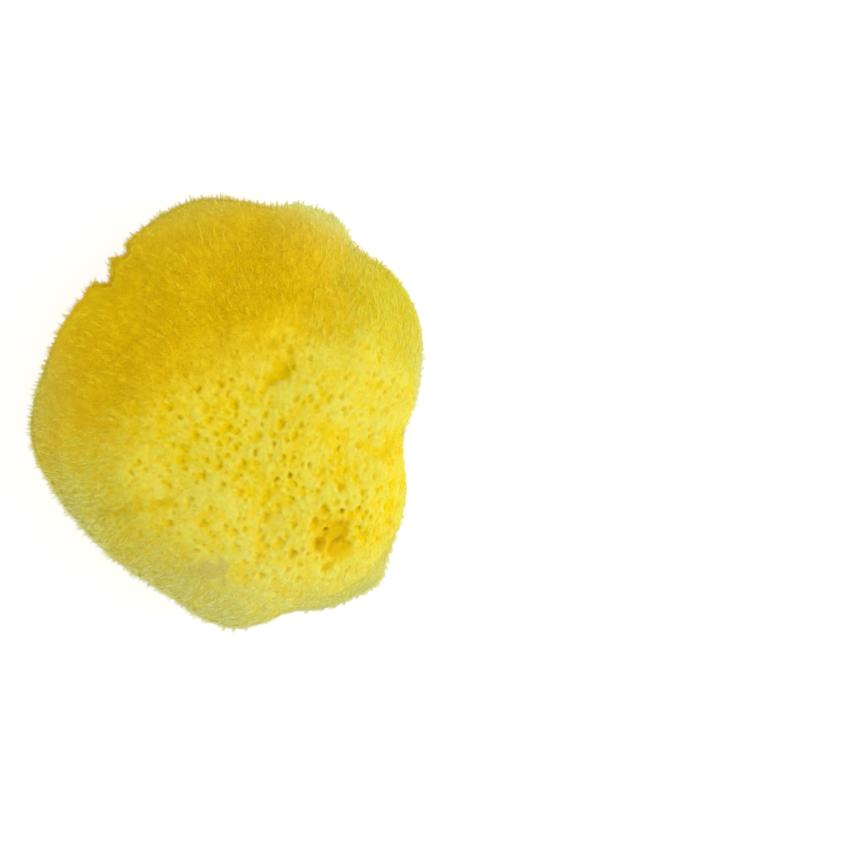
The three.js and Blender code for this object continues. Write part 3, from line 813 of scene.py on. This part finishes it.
# Each hair in a wisp moves towards the line through the wisp's seed along the lean, and is lifted
gap = without(without(wisp_seed - hair_root, hair_normal), hair_lean)
lift = 0.3 + 0.5 * cell_value(wisp_cell, 145)
hair_tip += (gap * 0.85 + hair_normal * lift[:, None]) * hair_wisp[:, None]
hair_root += gap * 0.5 * hair_wisp[:, None] - hair_normal * 0.1
hair_radius = HAIR_RADIUS * draw.uniform(0.8, 1.2, HAIRS) * (1 + 0.3 * hair_wisp)
above_base = np.minimum(hair_root[:, 2], hair_tip[:, 2]) > 0.1

put_strands(
    "down", 4, hair_root[above_base], hair_tip[above_base], hair_radius[above_base],
    tip_highlight=hair_highlight[above_base],
    shade=hair_shade[above_base],
    painted_relief=np.clip(hair_painted_relief, 0, 1)[above_base],
)


# The stray hairs: a few longer springy fibres of the skeleton that came loose at the upper right
# and stand out of the nap in loops, with both ends still in it.

# x, y of the start, of the point that the loop bends towards and of the end, height, rise
STRAYS = np.array([
    [28.6, 37.4, 29.8, 41.2, 31, 38, 32, 3], [29.6, 36.6, 31.8, 40.4, 32.8, 35.8, 33, 3],
    [33.4, 34.2, 36, 37.4, 35, 33.2, 34, 3], [37.5, 31.8, 39.4, 34.4, 37.6, 31, 31, 3],
    [35.9, 32.6, 37.7, 35.8, 38.1, 31.8, 30, 3],
])
STRAY_RADIUS = 0.06
STRAY_STEPS = 12
STRAY_SIDES = 4
STRAY_DIRT = 0.45

share = np.linspace(0, 1, STRAY_STEPS)[:, None]
begin, bend, end = (
    np.column_stack([STRAYS[:, 2 * i:2 * i + 2], STRAYS[:, 6] + STRAYS[:, 7] * (i == 1)])[:, None]
    for i in range(3)
)
path = begin * (1 - share) ** 2 + 2 * bend * share * (1 - share) + end * share**2
ahead = unit(np.gradient(path, axis=1))
stray_u = unit(np.cross(ahead, [0.3, -0.5, 0.8]))[:, :, None]
stray_v = np.cross(ahead, stray_u[:, :, 0])[:, :, None]
round_it = np.arange(STRAY_SIDES)[:, None] * 2 * np.pi / STRAY_SIDES
ring = path[:, :, None] + (np.cos(round_it) * stray_u + np.sin(round_it) * stray_v) * STRAY_RADIUS
at_ring = np.arange(ring[..., 0].size).reshape(ring.shape[:3])
onward = np.roll(at_ring, -1, axis=2)
walls = np.stack([at_ring[:, :-1], onward[:, :-1], onward[:, 1:], at_ring[:, 1:]], axis=-1)
stray_faces = np.concatenate([walls.reshape(-1, 4), at_ring[:, 0, ::-1], at_ring[:, -1]])
stray_points = ring.reshape(-1, 3)
stray_hairs = put_mesh("stray_hairs", stray_points + shift, stray_faces, {
    "grey": np.ones(len(stray_points)),
    "dirt": np.full(len(stray_points), STRAY_DIRT),
})
stray_hairs.data.materials.append(combed_spongin)
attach(stray_hairs, "root")


# The floor, the light and the camera. The floor is plain and pale and glows a little, as a light
# table does. A large soft lamp stands high on the right, with light from all round, and the camera
# looks straight down from far above.

FLOOR_HALF = 4000
FLOOR_GREY = (0.4, 0.4, 0.4, 1)
WHITE = (1, 1, 1, 1)
LAMP_PLACE = (0.75, -0.06, 0.95)  # in metres, as the lamp's size is
LAMP_TARGET = (0, 0, 0.03)
LENS = 300
SENSOR = 36
PIXEL = 100 / 431  # the sponge is 100 mm from tip to tip, which are 431 pixels of the picture
PICTURE_SIZE = np.array([847, 848])
SPONGE_AT = np.array([224.8, 412.5])  # its middle in the picture, in pixels from the upper left

pale_floor, floor_shader, _ = new_material("pale_floor")
floor_shader.inputs["Base Color"].default_value = FLOOR_GREY
floor_shader.inputs["Emission Color"].default_value = WHITE
floor_shader.inputs["Emission Strength"].default_value = 0.7
floor_shader.inputs["Roughness"].default_value = 1.0
floor_shader.inputs["Specular IOR Level"].default_value = 0.0
floor_corners = np.array([[-1, -1, 0], [1, -1, 0], [1, 1, 0], [-1, 1, 0]]) * FLOOR_HALF
floor = put_mesh("floor", floor_corners, np.array([[0, 1, 2, 3]]), {})
floor.data.materials.append(pale_floor)

world = bpy.data.worlds.new("studio")
world.use_nodes = True
world.node_tree.nodes["Background"].inputs["Color"].default_value = WHITE
world.node_tree.nodes["Background"].inputs["Strength"].default_value = 0.88
bpy.context.scene.world = world

lamp = bpy.data.lights.new("soft_lamp", "AREA")
lamp.shape = "DISK"
lamp.size = 0.9
lamp.energy = 4.95
lamp_object = bpy.data.objects.new("soft_lamp", lamp)
lamp_object.location = LAMP_PLACE
lamp_aim = Vector(LAMP_TARGET) - Vector(LAMP_PLACE)
lamp_object.rotation_euler = lamp_aim.to_track_quat("-Z", "Y").to_euler()
bpy.context.scene.collection.objects.link(lamp_object)

frame_middle = (PICTURE_SIZE / 2 - SPONGE_AT) * PIXEL * [1, -1] + shift[:2]
camera_data = bpy.data.cameras.new("camera")
camera_data.lens = LENS
camera_data.sensor_width = SENSOR
camera = bpy.data.objects.new("camera", camera_data)
camera_height = RIM_HEIGHT + PICTURE_SIZE[1] * PIXEL * LENS / SENSOR
camera.location = np.append(frame_middle, camera_height) * MM
bpy.context.scene.collection.objects.link(camera)
bpy.context.scene.camera = camera
bpy.context.scene.view_settings.view_transform = "Standard"
